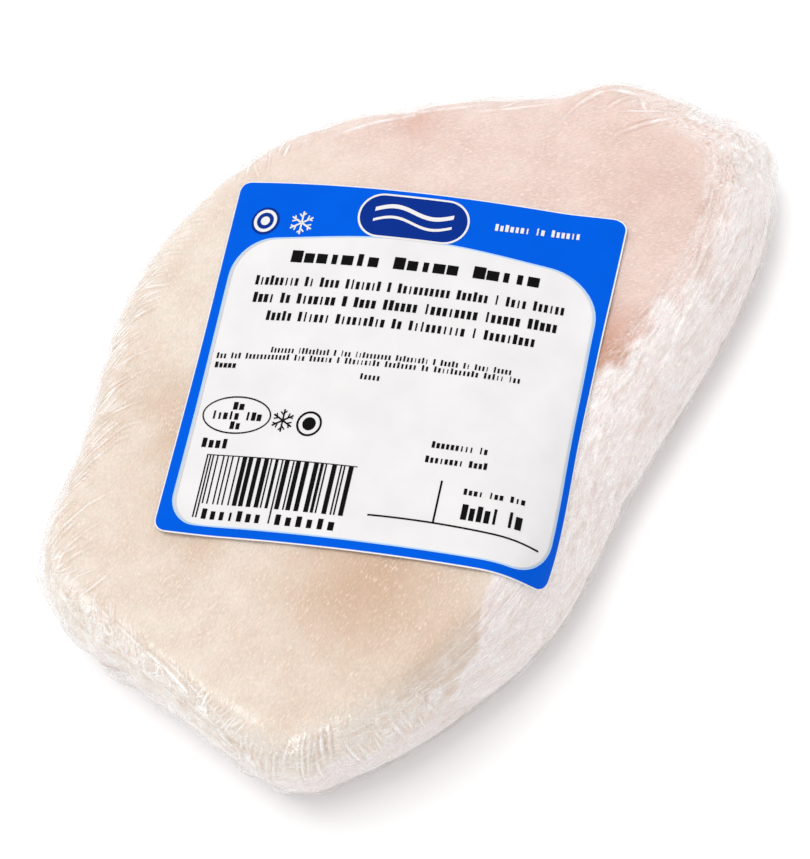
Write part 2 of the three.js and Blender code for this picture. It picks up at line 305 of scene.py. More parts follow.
def frozen_flesh():
    """Hake flesh sawn across while frozen, under a thin glaze of ice: pale, waxy and softly lit
    from inside, with short muscle fibres, a pinker end, and white frost on the skin side."""
    material, tree, output = new_material("frozen_hake_flesh")
    place = add(tree, "ShaderNodeTexCoord").outputs["Object"]
    frost, pink, warm_shade, pale = (
        add(tree, "ShaderNodeAttribute", {"attribute_name": name}).outputs["Fac"]
        for name in ("frost", "pink", "warm_shade", "pale"))

    # Muscle fibres: streaks 0.3 mm thick and under 1 mm long, that lie one way at the left end
    # and another at the right.
    streaks = []
    for heading in (14, -36):
        turned = add(tree, "ShaderNodeMapping", {"vector_type": "TEXTURE"},
                     {"Vector": place, "Rotation": (0, 0, np.radians(heading)),
                      "Scale": (0.6 * MM, 0.28 * MM, 0.5 * MM)}).outputs[0]
        streaks.append(add(tree, "ShaderNodeTexNoise", None,
                           {"Vector": turned, "Scale": 1.0, "Detail": 3.0}).outputs[0])
    fibre = add(tree, "ShaderNodeMix", None, {0: pink, 2: streaks[0], 3: streaks[1]}).outputs[0]

    # Slow mottling, 6 mm across, with finer mottling in it.
    slow = add(tree, "ShaderNodeTexNoise", None,
               {"Vector": place, "Scale": 1 / (6 * MM), "Detail": 4.0, "Roughness": 0.6}).outputs[0]
    tone = add(tree, "ShaderNodeMapRange", None, {0: slow, 1: 0.3, 2: 0.7, 3: 0, 4: 1}).outputs[0]
    peach = add(tree, "ShaderNodeMix", {"data_type": "RGBA"},
                {0: tone, 6: linear("#E8DCD0"), 7: linear("#DCCABA")}).outputs[2]
    rosy = add(tree, "ShaderNodeMix", {"data_type": "RGBA"},
               {0: tone, 6: linear("#E7D1C8"), 7: linear("#DCC2B8")}).outputs[2]
    flesh = add(tree, "ShaderNodeMix", {"data_type": "RGBA"}, {0: pink, 6: peach, 7: rosy}).outputs[2]
    # Painted shade: darker, ruddier flesh in patches, most of them along the label's edges and below it.
    ruddy_shade = add(tree, "ShaderNodeMix", {"data_type": "RGBA"},
                {0: pink, 6: linear("#C6A284"), 7: linear("#CC9883")}).outputs[2]
    flesh = add(tree, "ShaderNodeMix", {"data_type": "RGBA"}, {0: warm_shade, 6: flesh, 7: ruddy_shade}).outputs[2]
    # Painted light: paler flesh round the shoulder, from the back left side round to the front left
    # corner.
    flesh = add(tree, "ShaderNodeMix", {"data_type": "RGBA"},
                {0: pale, 6: flesh, 7: linear("#EDE2D5")}).outputs[2]
    streak = add(tree, "ShaderNodeMapRange", None,
                 {0: fibre, 1: 0.36, 2: 0.64, 3: 0.93, 4: 1.05}).outputs[0]
    flesh = add(tree, "ShaderNodeMix", {"data_type": "RGBA", "blend_type": "MULTIPLY"},
                {0: 1.0, 6: flesh, 7: streak}).outputs[2]

    # Short white ticks of ice along the fibres, thicker in some places than in others.
    grain = add(tree, "ShaderNodeMath", {"operation": "MULTIPLY_ADD"},
                {0: slow, 1: 0.35, 2: fibre}).outputs[0]
    speck = add(tree, "ShaderNodeMapRange", None, {0: grain, 1: 0.80, 2: 0.92, 3: 0, 4: 0.45}).outputs[0]
    flesh = add(tree, "ShaderNodeMix", {"data_type": "RGBA"},
                {0: speck, 6: flesh, 7: linear("#FBF4EC")}).outputs[2]

    # Frost on the skin side: nearly white, with grey and pink speckle of a third of a millimetre
    # that is drawn out along the slab.
    drawn = add(tree, "ShaderNodeMapping", {"vector_type": "TEXTURE"},
                {"Vector": place, "Rotation": (0, 0, np.radians(15)),
                 "Scale": (1.3 * MM, 0.35 * MM, 0.35 * MM)}).outputs[0]
    speckle = add(tree, "ShaderNodeTexNoise", None,
                  {"Vector": drawn, "Scale": 1.0, "Detail": 3.0, "Roughness": 0.65}).outputs[0]
    mottle = add(tree, "ShaderNodeMapRange", None,
                 {0: speckle, 1: 0.36, 2: 0.62, 3: 0, 4: 1}).outputs[0]
    frosted = add(tree, "ShaderNodeMix", {"data_type": "RGBA"},
                  {0: mottle, 6: linear("#E0D1CE"), 7: linear("#F5ECE9")}).outputs[2]
    edge = add(tree, "ShaderNodeMath", {"operation": "ADD"}, {0: frost, 1: slow}).outputs[0]
    cover = add(tree, "ShaderNodeMapRange", None, {0: edge, 1: 0.75, 2: 1.25, 3: 0, 4: 1}).outputs[0]
    colour = add(tree, "ShaderNodeMix", {"data_type": "RGBA"},
                 {0: cover, 6: flesh, 7: frosted}).outputs[2]

    relief = add(tree, "ShaderNodeMix", None, {0: cover, 2: fibre, 3: speckle}).outputs[0]
    bump = add(tree, "ShaderNodeBump", None,
               {"Strength": 0.7, "Distance": 0.2 * MM, "Height": relief}).outputs[0]
    skin = add(tree, "ShaderNodeBsdfPrincipled", None, {
        "Base Color": colour, "Roughness": 0.5, "IOR": 1.35, "Normal": bump,
        "Subsurface Weight": 0.25, "Subsurface Radius": (1.0, 0.6, 0.45), "Subsurface Scale": 2 * MM})
    tree.links.new(skin.outputs[0], output.inputs[0])
    return material


MIRROR_LIMIT = 0.42              # the most that tight film mirrors, seen along its surface


def clear_film():
    """Stretch film: clear where it lies tight, with a soft gloss, and white along its creases, where the
    folded layers scatter the light and painted highlights lie beside them. A brownish cast along their
    other side is painted shade."""
    material, tree, output = new_material("clear_stretch_film")
    wrap = add(tree, "ShaderNodeAttribute", {"attribute_name": "wrap"}).outputs["Vector"]
    crease, shade, loose, lifted, along = (
        add(tree, "ShaderNodeAttribute", {"attribute_name": name}).outputs["Fac"]
        for name in ("crease", "shade", "loose", "lifted", "along"))

    # Fine wrinkles, half a millimetre apart and about 6 mm long: where a noise drawn out that way
    # passes its middle value. One set runs over the edge of the slab and the other along it.
    sets = []
    for size in ((0.6, 0.6, 6.0), (7.0, 7.0, 0.55)):
        drawn = add(tree, "ShaderNodeMapping", {"vector_type": "TEXTURE"},
                    {"Vector": wrap, "Scale": tuple(value * MM for value in size)}).outputs[0]
        sets.append(add(tree, "ShaderNodeTexNoise", None,
                        {"Vector": drawn, "Scale": 1.0, "Detail": 2.0, "Distortion": 0.5}).outputs[0])
    lines = add(tree, "ShaderNodeMix", None, {0: along, 2: sets[0], 3: sets[1]}).outputs[0]
    off = add(tree, "ShaderNodeMath", {"operation": "SUBTRACT"}, {0: lines, 1: 0.5}).outputs[0]
    off = add(tree, "ShaderNodeMath", {"operation": "ABSOLUTE"}, {0: off}).outputs[0]
    ridge = add(tree, "ShaderNodeMapRange", None, {0: off, 1: 0.04, 2: 0.0, 3: 0, 4: 1}).outputs[0]
    patch = add(tree, "ShaderNodeTexNoise", None,
                {"Vector": wrap, "Scale": 1 / (4 * MM), "Detail": 2.0}).outputs[0]
    shown = add(tree, "ShaderNodeMapRange", None, {0: patch, 1: 0.4, 2: 0.62, 3: 0.35, 4: 1}).outputs[0]
    shown = add(tree, "ShaderNodeMath", {"operation": "MULTIPLY"}, {0: shown, 1: loose}).outputs[0]
    # Where it lies tight it takes on the grit of the frozen flesh, half a millimetre across.
    place = add(tree, "ShaderNodeTexCoord").outputs["Object"]
    grit = add(tree, "ShaderNodeTexNoise", None,
               {"Vector": place, "Scale": 1 / (0.5 * MM), "Detail": 2.0}).outputs[0]
    height = add(tree, "ShaderNodeMix", None, {0: shown, 2: grit, 3: ridge}).outputs[0]
    strength = add(tree, "ShaderNodeMapRange", None, {0: shown, 1: 0, 2: 1, 3: 0.6, 4: 0.8}).outputs[0]
    bump = add(tree, "ShaderNodeBump", None,
               {"Strength": strength, "Distance": 0.15 * MM, "Height": height}).outputs[0]

    fine = add(tree, "ShaderNodeMath", {"operation": "MULTIPLY"}, {0: ridge, 1: lifted}).outputs[0]
    fine = add(tree, "ShaderNodeMath", {"operation": "MULTIPLY"}, {0: fine, 1: 0.75}).outputs[0]
    milky = add(tree, "ShaderNodeMapRange", None, {0: patch, 1: 0.5, 2: 0.68, 3: 0.02, 4: 0.4}).outputs[0]
    haze = add(tree, "ShaderNodeMath", {"operation": "MULTIPLY"}, {0: lifted, 1: milky}).outputs[0]
    # The creases' white is partly the scatter of doubled-over film and partly painted highlight to one
    # side of each crease; beside it lies painted shade.
    broken = add(tree, "ShaderNodeMapRange", None, {0: lines, 1: 0.3, 2: 0.55, 3: 0.65, 4: 1}).outputs[0]
    white = add(tree, "ShaderNodeMath", {"operation": "MULTIPLY"}, {0: crease, 1: broken}).outputs[0]
    white = add(tree, "ShaderNodeMath", {"operation": "MAXIMUM"}, {0: white, 1: fine}).outputs[0]
    white = add(tree, "ShaderNodeMath", {"operation": "MAXIMUM"}, {0: white, 1: haze}).outputs[0]

    shine = add(tree, "ShaderNodeFresnel", None, {"IOR": 1.5, "Normal": bump}).outputs[0]
    shine = add(tree, "ShaderNodeMath", {"operation": "MINIMUM"}, {0: shine, 1: MIRROR_LIMIT}).outputs[0]
    # Painted shade: a brownish cast on what shows through the film, along the shaded side of creases,
    # ripples and curls.
    painted_shade_tint = add(tree, "ShaderNodeMix", {"data_type": "RGBA"},
               {0: shade, 6: linear("#FFFFFF"), 7: linear("#D6BFAC")}).outputs[2]
    clear = add(tree, "ShaderNodeBsdfTransparent", None, {"Color": painted_shade_tint}).outputs[0]
    gloss = add(tree, "ShaderNodeBsdfAnisotropic", None, {
        "Color": linear("#FFFFFF"), "Roughness": 0.2, "Normal": bump}).outputs[0]
    tight = add(tree, "ShaderNodeMixShader", None, {0: shine, 1: clear, 2: gloss}).outputs[0]
    folded = add(tree, "ShaderNodeBsdfPrincipled", None, {
        "Base Color": linear("#FFFFFF"), "Roughness": 0.3, "IOR": 1.5}).outputs[0]
    surface = add(tree, "ShaderNodeMixShader", None, {0: white, 1: tight, 2: folded}).outputs[0]
    tree.links.new(surface, output.inputs[0])
    return material


def printed_paper(name, hex_colour, specular, roughness=0.42):
    """Semi-gloss label stock or the ink on it: a smooth coated sheet whose fibres barely show, as
    a soft unevenness 0.4 mm across in its gloss and tone."""
    material, tree, output = new_material(name)
    place = add(tree, "ShaderNodeTexCoord").outputs["Object"]
    fibres = add(tree, "ShaderNodeTexNoise", None,
                 {"Vector": place, "Scale": 1 / (0.4 * MM), "Detail": 4.0}).outputs[0]
    clouds = add(tree, "ShaderNodeTexNoise", None,
                 {"Vector": place, "Scale": 1 / (6 * MM), "Detail": 2.0}).outputs[0]
    tone = add(tree, "ShaderNodeMapRange", None, {0: clouds, 1: 0.3, 2: 0.7, 3: 0.97, 4: 1.03}).outputs[0]
    colour = add(tree, "ShaderNodeMix", {"data_type": "RGBA", "blend_type": "MULTIPLY"},
                 {0: 1.0, 6: linear(hex_colour), 7: tone}).outputs[2]
    uneven = add(tree, "ShaderNodeMapRange", None,
                 {0: fibres, 1: 0.3, 2: 0.7, 3: roughness - 0.05, 4: roughness + 0.05}).outputs[0]
    bump = add(tree, "ShaderNodeBump", None,
               {"Strength": 0.15, "Distance": 0.02 * MM, "Height": fibres}).outputs[0]
    sheet = add(tree, "ShaderNodeBsdfPrincipled", None, {
        "Base Color": colour, "Roughness": uneven, "Specular IOR Level": specular, "Normal": bump})
    tree.links.new(sheet.outputs[0], output.inputs[0])
    return material


def white_board():
    """A matt white board under the object, lit until it is pure white."""
    material, tree, output = new_material("white_board")
    board = add(tree, "ShaderNodeBsdfPrincipled", None, {
        "Base Color": linear("#FAFAFA"), "Roughness": 0.8, "Specular IOR Level": 0.0})
    tree.links.new(board.outputs[0], output.inputs[0])
    return material


# ------------------------------------------------------------------------------ the fish

# The gap between film and fish at the side, mm: degrees round the slab, gap.
SIDE_GAP = np.array([(0, 0.8), (60, 0.6), (120, 0.7), (150, 0.8), (166, 1.3), (178, 0.8),
                     (205, 0.5), (222, 0.4), (250, 0.35), (300, 0.35), (330, 0.5), (345, 0.9)])
TOP_GAP = 0.35
CLOSEST = 0.3                    # the least gap, on the top face
SIDE_ROOM = 0.25                 # how much wider the least gap is at the side
FISH_ANGLES = 600
FISH_STEPS = [(0.7, 6), (1, 18), (2, 44), (3, 16), (4, 8)]   # level, equal steps up to it

# Where the frost of the skin side begins: degrees round the slab, level.
FROST_EDGE = np.array([(0, 1.5), (30, 1.75), (80, 1.6), (130, 1.7), (205, 1.8), (214, 1.75),
                       (224, 1.78), (236, 1.6), (243, 1.12), (250, 1.0), (265, 1.05), (282, 1.2),
                       (294, 1.27), (308, 1.25), (316, 1.22), (326, 1.36), (335, 1.30), (342, 1.26),
                       (349, 1.36), (355, 1.6)])

# Patches of darker, ruddier flesh, most of them painted shade along the label's edges and below it: x, y
# and size in mm, and how strong.
WARM_SHADE = [(-31, -27, 14, 0.8), (-32, -42, 12, 0.45), (20, -28, 8, 1.0), (-40, 4, 12, 0.35),
        (-44, -20, 12, 0.15), (31, 23, 4, 0.5), (46, -14, 9, 0.25), (-31, 21, 6, 0.45),
        (-35, 14, 6, 0.5), (-39, 6, 6, 0.5), (-43, -1, 6, 0.45), (-32, 26, 9, 0.2), (-46, -34, 10, 0.25)]


def round_table(table, angle):
    """A value listed by degrees round the slab, in straight lines between."""
    return np.interp(np.asarray(angle) % TURN, np.radians(table[:, 0]), table[:, 1], period=TURN)


def spread_angles(count, crowding):
    """Angles once round the slab, closer together where the crowding table, of degrees and
    weights, says so."""
    fine = np.arange(3600) / 3600 * TURN
    weight = np.interp(fine, np.radians(crowding[:, 0]), crowding[:, 1], period=TURN)
    total = np.concatenate([[0], np.cumsum(weight)])
    return np.interp(np.arange(count) / count * total[-1], total, np.arange(3601) / 3600 * TURN)


def slab_levels(steps):
    """Levels from near the top's middle to near the underside's. Each pair is a level and how
    many equal steps lead up to it."""
    levels = [0.0]
    for end, count in steps:
        levels += (levels[-1] + (end - levels[-1]) * np.arange(1, count + 1) / count).tolist()
    return np.array(levels[1:-1])


def make_fish():
    """The slab drawn in along its normals by the gap to the film, with low lumps."""
    angle, level = np.meshgrid(np.arange(FISH_ANGLES) / FISH_ANGLES * TURN, slab_levels(FISH_STEPS))
    base = slab_point(angle, level)
    normal = outward_normals(base)
    at_side = step_up(level, 0.85, 1.5) * (1 - step_up(level, 2.4, 3.0))
    gap = TOP_GAP + (round_table(SIDE_GAP, angle) - TOP_GAP) * at_side + 0.2 * step_up(level, 2.6, 3)
    lumps = waves(base, 9, 11) * 0.10 + waves(base, 3.5, 12) * 0.03
    ragged = round_table(FROST_EDGE, angle) + 0.06 * waves(base, 7, 14)
    frost = step_up(level - ragged, -0.12, 0.16) * (1 - step_up(level, 2.6, 3))
    folds = waves(base * (0.12, 0.5, 1.0), 4.5, 13) * 0.12 * frost
    depth = np.maximum(gap - (lumps * (1 + at_side) + folds), CLOSEST + SIDE_ROOM * at_side)
    rings = base - normal * depth[..., None]
    x, y = base[..., 0], base[..., 1]
    # The patches of painted shade, each as strong as listed.
    warm_shade = np.zeros(x.shape)
    for at_x, at_y, size, much in WARM_SHADE:
        warm_shade = np.maximum(warm_shade, much * bell(np.hypot(x - at_x, y - at_y), size))
    pink = step_up(x, -5, 30)
    # Painted light: the flesh paler round the shoulder, from the back left side round to the front left
    # corner.
    pale = 0.6 * step_up(level, 0.98, 1.35) * (1 - step_up(np.abs(wrapped(angle - 2.8)), 1.0, 1.3))
    points, faces = closed_skin(rings, rings[0].mean(axis=0), rings[-1].mean(axis=0))
    values = {key: np.append(np.ravel(value), [value[0].mean(), value[-1].mean()])
              for key, value in {"frost": frost, "pink": pink, "warm_shade": warm_shade, "pale": pale}.items()}
    return new_piece("fish", points, faces, frozen_flesh(), values)


# ------------------------------------------------------------------------------ the film

# Fans of creases: first and last degree round the slab, count, inner and outer level, how many
# degrees the outer end lies further round, width and height in mm, whiteness.
FANS = [
    (106, 113, 10, 0.98, 1.45, 8, 0.33, 0.12, 0.8),       # slanting, along the back left side
    (113, 119, 10, 0.97, 1.45, 9, 0.33, 0.12, 0.9),
    (119, 125, 11, 0.96, 1.45, 9, 0.33, 0.12, 0.9),
    (126, 131, 10, 0.95, 1.42, 9, 0.33, 0.13, 1.0),
    (131, 137, 11, 0.95, 1.42, 8, 0.33, 0.13, 1.0),
    (137, 142, 10, 0.94, 1.42, 8, 0.33, 0.14, 1.0),
    (142, 149, 12, 0.94, 1.40, 7, 0.34, 0.14, 1.0),
    (149, 157, 12, 0.93, 1.36, 5, 0.30, 0.15, 1.0),       # back left corner
    (158, 166, 12, 0.92, 1.30, 2, 0.32, 0.16, 0.9),
    (166, 174, 12, 0.97, 1.28, -1, 0.32, 0.18, 0.8),
    (174, 186, 16, 1.00, 1.34, 3, 0.32, 0.18, 0.8),       # left side
    (186, 197, 15, 1.08, 1.42, 3, 0.32, 0.18, 0.8),
    (198, 206, 15, 1.14, 1.44, -2, 0.32, 0.20, 1.0),      # front left corner
    (205, 217, 22, 1.26, 1.80, -1.5, 0.34, 0.22, 1.0),
    (216, 232, 16, 1.42, 1.85, 1, 0.34, 0.16, 0.9),       # round it
    (285, 318, 18, 1.02, 1.30, 5, 0.34, 0.10, 0.35),      # swirl beside the label
    (60, 84, 10, 0.98, 1.3, -4, 0.4, 0.2, 0.7),           # tuck by the label's corner
    (334, 352, 9, 1.15, 1.6, 3, 0.4, 0.22, 0.8),          # blunt end
    (352, 12, 8, 0.95, 1.3, -5, 0.4, 0.2, 0.7),           # its back corner
    (15, 60, 14, 1.0, 1.35, -6, 0.4, 0.16, 0.5),          # back side
    (88, 110, 14, 1.0, 1.35, 5, 0.4, 0.16, 0.6),
]

# Long folds: degrees and level at both ends, bow to one side in mm, width, height, whiteness.
FOLDS = [
    (174, 1.12, 195, 1.28, -0.4, 0.45, 0.35, 1.0),        # rolled film, front left
    (183, 1.18, 203, 1.48, -1.6, 0.6, 0.35, 1.1),
    (191, 1.26, 210, 1.76, -1.2, 0.7, 0.4, 1.2),
    (198, 1.38, 212, 1.92, -0.9, 0.6, 0.35, 1.2),
    (187, 1.38, 208, 1.74, -1.4, 0.4, 0.25, 1.0),
    (189, 1.14, 207, 1.46, -1.2, 0.35, 0.25, 1.0),
    (180, 1.36, 200, 1.62, -1.0, 0.45, 0.3, 1.0),
    (178, 1.55, 198, 1.80, -0.5, 0.4, 0.25, 0.8),
    (168, 1.32, 186, 1.50, 0.5, 0.6, 0.4, 0.7),
    (160, 1.20, 172, 1.40, -0.4, 0.5, 0.3, 0.7),
    (326, 1.38, 299, 1.62, 0.8, 0.6, 0.3, 0.6),           # along the front side
    (334, 1.34, 292, 1.72, 0.6, 0.5, 0.3, 0.5),
    (318, 1.16, 290, 1.46, 1.2, 0.4, 0.2, 0.45),
    (322, 1.25, 301, 1.38, 0.5, 0.4, 0.2, 0.4),
    (306, 1.50, 278, 1.78, 0.7, 0.5, 0.25, 0.5),
    (296, 1.34, 262, 1.60, -0.9, 0.4, 0.2, 0.45),
    (280, 1.24, 250, 1.46, -0.8, 0.4, 0.2, 0.4),
    (275, 1.60, 243, 1.56, 0.8, 0.5, 0.25, 0.5),
    (268, 1.40, 246, 1.72, 0.6, 0.4, 0.2, 0.4),
    (265, 1.85, 236, 1.75, 0.6, 0.5, 0.25, 0.4),
    (16, 1.10, 36, 1.95, 1.0, 0.6, 0.3, 0.5),             # down the back sides
    (30, 1.15, 44, 2.1, -0.8, 0.5, 0.3, 0.4),
    (48, 1.20, 58, 2.0, 0.7, 0.6, 0.3, 0.5),
    (66, 1.15, 72, 2.1, -0.5, 0.5, 0.3, 0.5),
    (92, 1.15, 86, 2.1, 0.6, 0.6, 0.3, 0.5),
    (112, 1.30, 102, 2.1, 0.8, 0.5, 0.3, 0.5),
    (130, 1.30, 116, 2.0, 0.8, 0.6, 0.3, 0.5),
    (146, 1.25, 134, 2.1, 0.7, 0.6, 0.3, 0.6),
    (158, 1.20, 152, 2.1, 0.5, 0.5, 0.3, 0.6),
    (166, 1.15, 174, 2.1, -0.5, 0.6, 0.3, 0.6),
    (75, 1.38, 82, 1.00, 0.3, 0.5, 0.4, 0.8),             # beside the label's far corner
    (79, 1.35, 86, 1.05, 0.3, 0.4, 0.3, 0.6),
    (59, 1.02, 34, 1.12, -0.6, 0.6, 0.35, 0.6),           # along the back side
    (46, 1.17, 20, 1.16, 0.5, 0.6, 0.35, 0.6),
    (24, 1.05, 8, 1.10, 0.4, 0.5, 0.3, 0.6),
    (70, 1.25, 46, 1.22, 0.5, 0.5, 0.3, 0.4),
    (6, 0.95, 3, 1.10, 0.3, 0.6, 0.35, 0.9),              # back corner of the blunt end
    (3, 1.10, 358, 1.22, 0.2, 0.6, 0.35, 0.9),
    (358, 1.22, 354, 1.10, 0.2, 0.5, 0.3, 0.8),
    (342, 1.40, 337, 1.70, 0.5, 0.6, 0.4, 1.0),           # blunt end
    (343, 1.30, 341, 1.46, 0.2, 0.6, 0.3, 0.9),
    (339, 1.38, 340, 1.58, -0.3, 0.5, 0.3, 0.8),
    (350, 1.34, 338, 1.62, 0.6, 0.5, 0.2, 0.5),
]

# How the film lies round the slab: degrees, how far its wrinkles lean round for each mm down,
# how far they run along the edge rather than over it on the shoulder and below it (0 to 1), how
# loose it is (0 to 1), and the level from which it lifts off in white wrinkles.
LAY = np.array([
    (0, -0.5, 0.3, 0.2, 0.5, 1.0),
    (20, -0.6, 1.0, 0.0, 0.3, 1.05),
    (60, -0.5, 0.8, 0.0, 0.3, 1.0),
    (80, 0.3, 0.1, 0.0, 0.35, 0.97),
    (105, 0.7, 0.0, 0.0, 0.35, 0.97),
    (145, 0.7, 0.0, 0.0, 0.4, 0.96),
    (165, 0.1, 0.0, 0.1, 0.7, 0.98),
    (180, 0.2, 0.1, 0.9, 0.9, 1.05),
    (195, 0.0, 0.1, 1.0, 0.9, 1.15),
    (208, -0.1, 0.0, 1.0, 0.8, 1.25),
    (222, 0.0, 0.2, 0.8, 0.6, 1.3),
    (238, 0.0, 1.0, 1.0, 0.65, 1.1),
    (320, 0.0, 1.0, 1.0, 0.65, 1.0),
    (334, 0.0, 0.9, 0.9, 0.6, 1.0),
    (344, 0.2, 0.5, 0.6, 0.9, 1.0),
])

# How closely the film's points stand round the slab: degrees, weight.
CROWDING = np.array([(0, 1.2), (20, 0.7), (55, 0.8), (65, 1.2), (85, 1.2), (105, 1.8), (160, 2.0),
                     (220, 2.0), (235, 0.9), (250, 0.6), (325, 0.6), (335, 1.3), (350, 1.3)])

FILM_ANGLES = 1240
FILM_STEPS = [(0.6, 2), (0.93, 4), (1, 7), (1.5, 43), (2, 12), (3, 8), (4, 3)]
FOLD_SHADE = 0.45                # how dark the painted shade on the far side of a white fold is, of its whiteness
FAN_SHADE = 0.9
DEEPEST = -0.2                   # the most that creases dip under the slab's form, pleats aside, mm


def down_the_side(level):
    """Roughly how far a level lies from the top's middle over the surface, in mm."""
    return np.interp(level, [0, 1, 2, 3, 4], [0, 50, 71, 82, 137])


def crease_line(angle, down, start, end, bow, width):
    """How far each place is from one crease, in widths, and how strong the crease is there: it
    tapers to nothing at its ends. Both ends are degrees and level, and its middle stands off to
    one side by bow mm."""
    reach = around(np.radians(start[0]))[0]
    x = reach * wrapped(angle - np.radians(start[0]))
    y = down - down_the_side(start[1])
    run = reach * wrapped(np.radians(end[0] - start[0]))
    drop = down_the_side(end[1]) - down_the_side(start[1])
    length = np.hypot(run, drop)
    part = np.clip((x * run + y * drop) / length**2, 0, 1)
    off = (y * run - x * drop) / length - bow * np.sin(np.pi * part)
    beyond = np.hypot(x - part * run, y - part * drop) > 4 * width + abs(bow)
    return off / width, np.where(beyond, 0, np.sin(np.pi * part) ** 0.7)


def all_creases(angle, level):
    """Height in mm, whiteness and painted shade of every crease: the fans, shaken by a seeded draw, and
    the folds. A crease is white as folded film scatters light, whitest a little to one side of its top as
    a painted highlight, and carries painted shade at its other side."""
    draw = np.random.default_rng(5)
    down = down_the_side(level)
    height = np.zeros(angle.shape)
    white = np.zeros(angle.shape)
    shade = np.zeros(angle.shape)
    lines = [((a0, l0), (a1, l1), bow, width, tall, pale, FOLD_SHADE)
             for a0, l0, a1, l1, bow, width, tall, pale in FOLDS]
    for first, last, count, inner, outer, slant, width, tall, pale in FANS:
        span = (last - first) % 360
        for k in range(count):
            at = first + span * (k + draw.uniform(0.1, 0.9)) / count
            reach_in = inner + draw.uniform(-0.04, 0.10)
            reach_out = outer + draw.uniform(-0.14, 0.10)
            tilt = slant * draw.uniform(0.5, 1.4)
            lines.append(((at, reach_in), (at + tilt, reach_out), draw.uniform(-0.5, 0.5),
                          width * draw.uniform(0.6, 1.3), tall * draw.uniform(0.4, 1.3),
                          pale * draw.uniform(0.3, 1.1), FAN_SHADE))
    for start, end, bow, width, tall, pale, dark in lines:
        off, there = crease_line(angle, down, start, end, bow, width)
        height += tall * there * (bell(off, 1) - 0.45 * bell(off, 2.2))
        white = np.maximum(white, np.minimum(pale * there * bell(off - 0.3, 0.65), 1))
        shade = np.maximum(shade, dark * pale * there * bell(np.abs(off) - 1.2, 0.5))
    return height, white, shade


def under_label(x, y):
    """1 where the film lies under the label, seen from above, and 0 from 1.2 mm outside it."""
    w, h = LABEL["width"] / 2, LABEL["height"] / 2
    corners = on_label(np.array([(-w, -h), (w, -h), (w, h), (-w, h)]), np.zeros(4))
    inside = np.full(np.shape(x), 1e9)
    for (x0, y0, _), (x1, y1, _) in zip(corners, np.roll(corners, -1, axis=0)):
        side = (x1 - x0) * (y - y0) - (y1 - y0) * (x - x0)
        inside = np.minimum(inside, side / np.hypot(x1 - x0, y1 - y0))
    return step_up(inside, -1.2, 0.2)


def make_film():
    """The slab's outer skin, with its pleats, creases and wrinkles along the normal. So thin and
    clear a film hardly dims the light on what it wraps, so it is left out of shadows."""
    angle, level = np.meshgrid(spread_angles(FILM_ANGLES, CROWDING), slab_levels(FILM_STEPS))
    base = slab_point(angle, level)
    normal = outward_normals(base)
    down = down_the_side(level)
    lean, along_above, along_below, loose, start = (
        np.interp(angle, np.radians(LAY[:, 0]), LAY[:, k], period=TURN) for k in range(1, 6))
    along = along_above + (along_below - along_above) * step_up(level, 1.25, 1.45)
    loose = loose * step_up(level, 0.97, 1.12) * (1 - step_up(level, 2.8, 3.0))
    lifted = loose * step_up(level - start, 0, 0.18)
    turned = angle - lean * (down - 50) / 65
    wrap = np.stack([60 * np.cos(turned), 60 * np.sin(turned), down], -1)

    height, white, shade = all_creases(angle, level)
    white *= 0.35 + 0.65 * step_up(waves(base, 3, 36), -0.9, 0.5)
    over = waves(wrap / (1.5, 1.5, 9), 1, 31)
    round_it = waves(wrap / (22, 22, 2.2), 1, 32)
    # Painted highlight just beside the crest of each ripple in the loose film, and painted shade down its
    # other flank.
    ripple = over + (round_it - over) * along
    crest = bell(ripple, 0.45)
    height += lifted * (0.13 * (crest - 0.4) + 0.06 * waves(base, 4, 33)) + 0.03 * waves(base, 9, 34)
    white = np.maximum(white, 0.5 * lifted * bell(ripple - 0.15, 0.28))
    shade = np.maximum(shade, 0.5 * lifted * bell(ripple + 0.5, 0.35))
    # Small curly cells where the film is loosest: each is outlined in white as a painted highlight, with
    # painted shade just beside the outline.
    curl = waves(base, 2.6, 35)
    curly = step_up(lifted, 0.6, 0.85) * (1 - step_up(level, 1.35, 1.6))
    height += 0.05 * curly * bell(curl, 0.35)
    white = np.maximum(white, 0.8 * curly * bell(curl, 0.16))
    shade = np.maximum(shade, 0.8 * curly * bell(curl - 0.36, 0.16))
    height *= (1 - step_up(level, 2.7, 3.0)) * (1 - under_label(base[..., 0], base[..., 1]))
    height = np.maximum(height * (1 - 0.5 * step_up(level, 1.6, 1.95)), DEEPEST)

    points = base + normal * height[..., None]
    points[..., :2] += np.stack([np.cos(angle), np.sin(angle)], -1) * pleats(angle, level)[..., None]
    points[..., 2] = np.maximum(points[..., 2], 0)
    values = {"crease": white, "shade": shade, "loose": loose, "lifted": lifted, "along": along}
    values = {key: np.append(np.ravel(value), [value[0].mean(), value[-1].mean()])
              for key, value in values.items()}
    wrap = wrap * MM
    ends = np.stack([wrap[0].mean(axis=0), wrap[-1].mean(axis=0)])
    vectors = {"wrap": np.concatenate([wrap.reshape(-1, 3), ends])}
    skin, faces = closed_skin(points, points[0].mean(axis=0), points[-1].mean(axis=0))
    film = new_piece("film", skin, faces, clear_film(), values, vectors)
    film.visible_shadow = False
    film.visible_diffuse = False
    return film


# ------------------------------------------------------------------------------ the label

